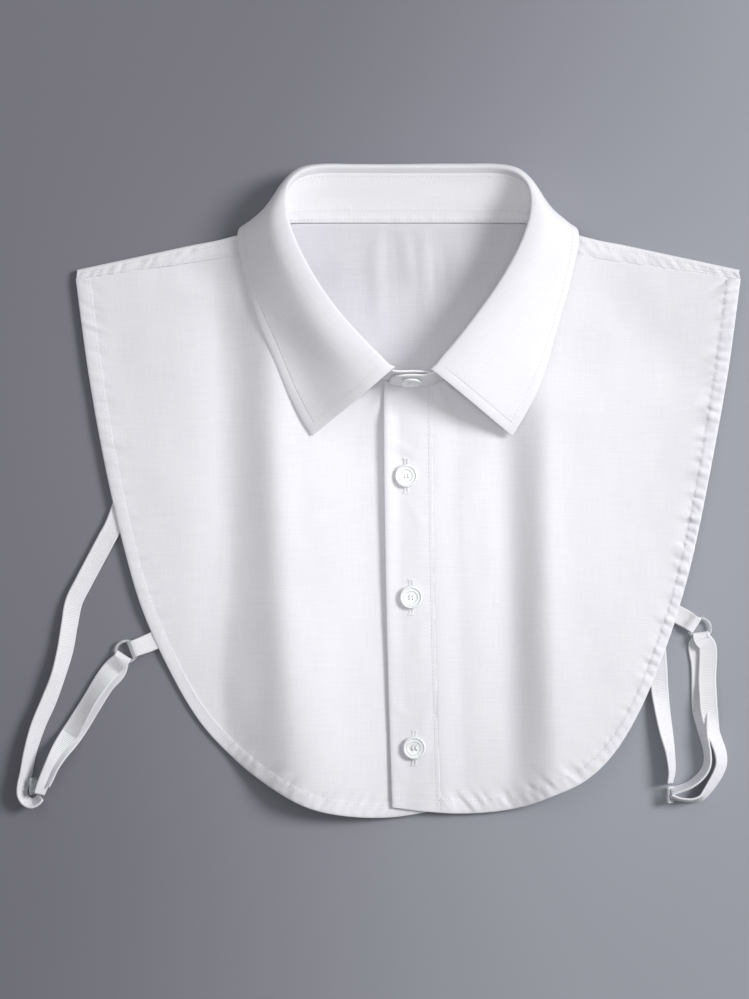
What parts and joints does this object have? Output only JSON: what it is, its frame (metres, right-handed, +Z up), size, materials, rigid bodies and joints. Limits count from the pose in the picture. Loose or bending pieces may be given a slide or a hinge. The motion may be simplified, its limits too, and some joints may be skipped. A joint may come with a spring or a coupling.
{
  "type": "detachable shirt collar",
  "caption": "False shirt collar in white poplin with a buttoned bib front, a matching back and elastic side straps, laid flat.",
  "frame": {"origin": "on the underside of the back panel, where it rests, on the collar's centre line", "axes": "+X towards the wearer's left, across the shoulders; +Y from the hem up to the neck; +Z up off the table, out of the front"},
  "size_m": [0.3676, 0.3318, 0.0294],
  "materials": {
    "poplin": "fine plain-weave cotton, matt, lightly pressed",
    "button_resin": "polished, slightly translucent white resin",
    "elastic": "ribbed woven elastic with a soft sheen and corded edges",
    "clear_plastic": "clear moulded plastic"
  },
  "bodies": {
    "root": {"front_right": "poplin", "front_left": "poplin", "button_placket": "poplin", "back_panel": "poplin", "collar_stand": "poplin", "collar_leaf": "poplin", "placket_button_1": "button_resin", "placket_button_2": "button_resin", "placket_button_3": "button_resin", "collar_button": "button_resin", "strap_long_right": "elastic", "strap_long_left": "elastic", "strap_loop_right": "elastic", "strap_loop_left": "elastic", "strap_tab_right": "elastic", "strap_tab_left": "elastic", "ring_right": "clear_plastic", "ring_left": "clear_plastic", "slider_right": "clear_plastic", "slider_left": "clear_plastic"}
  },
  "joints": []
}
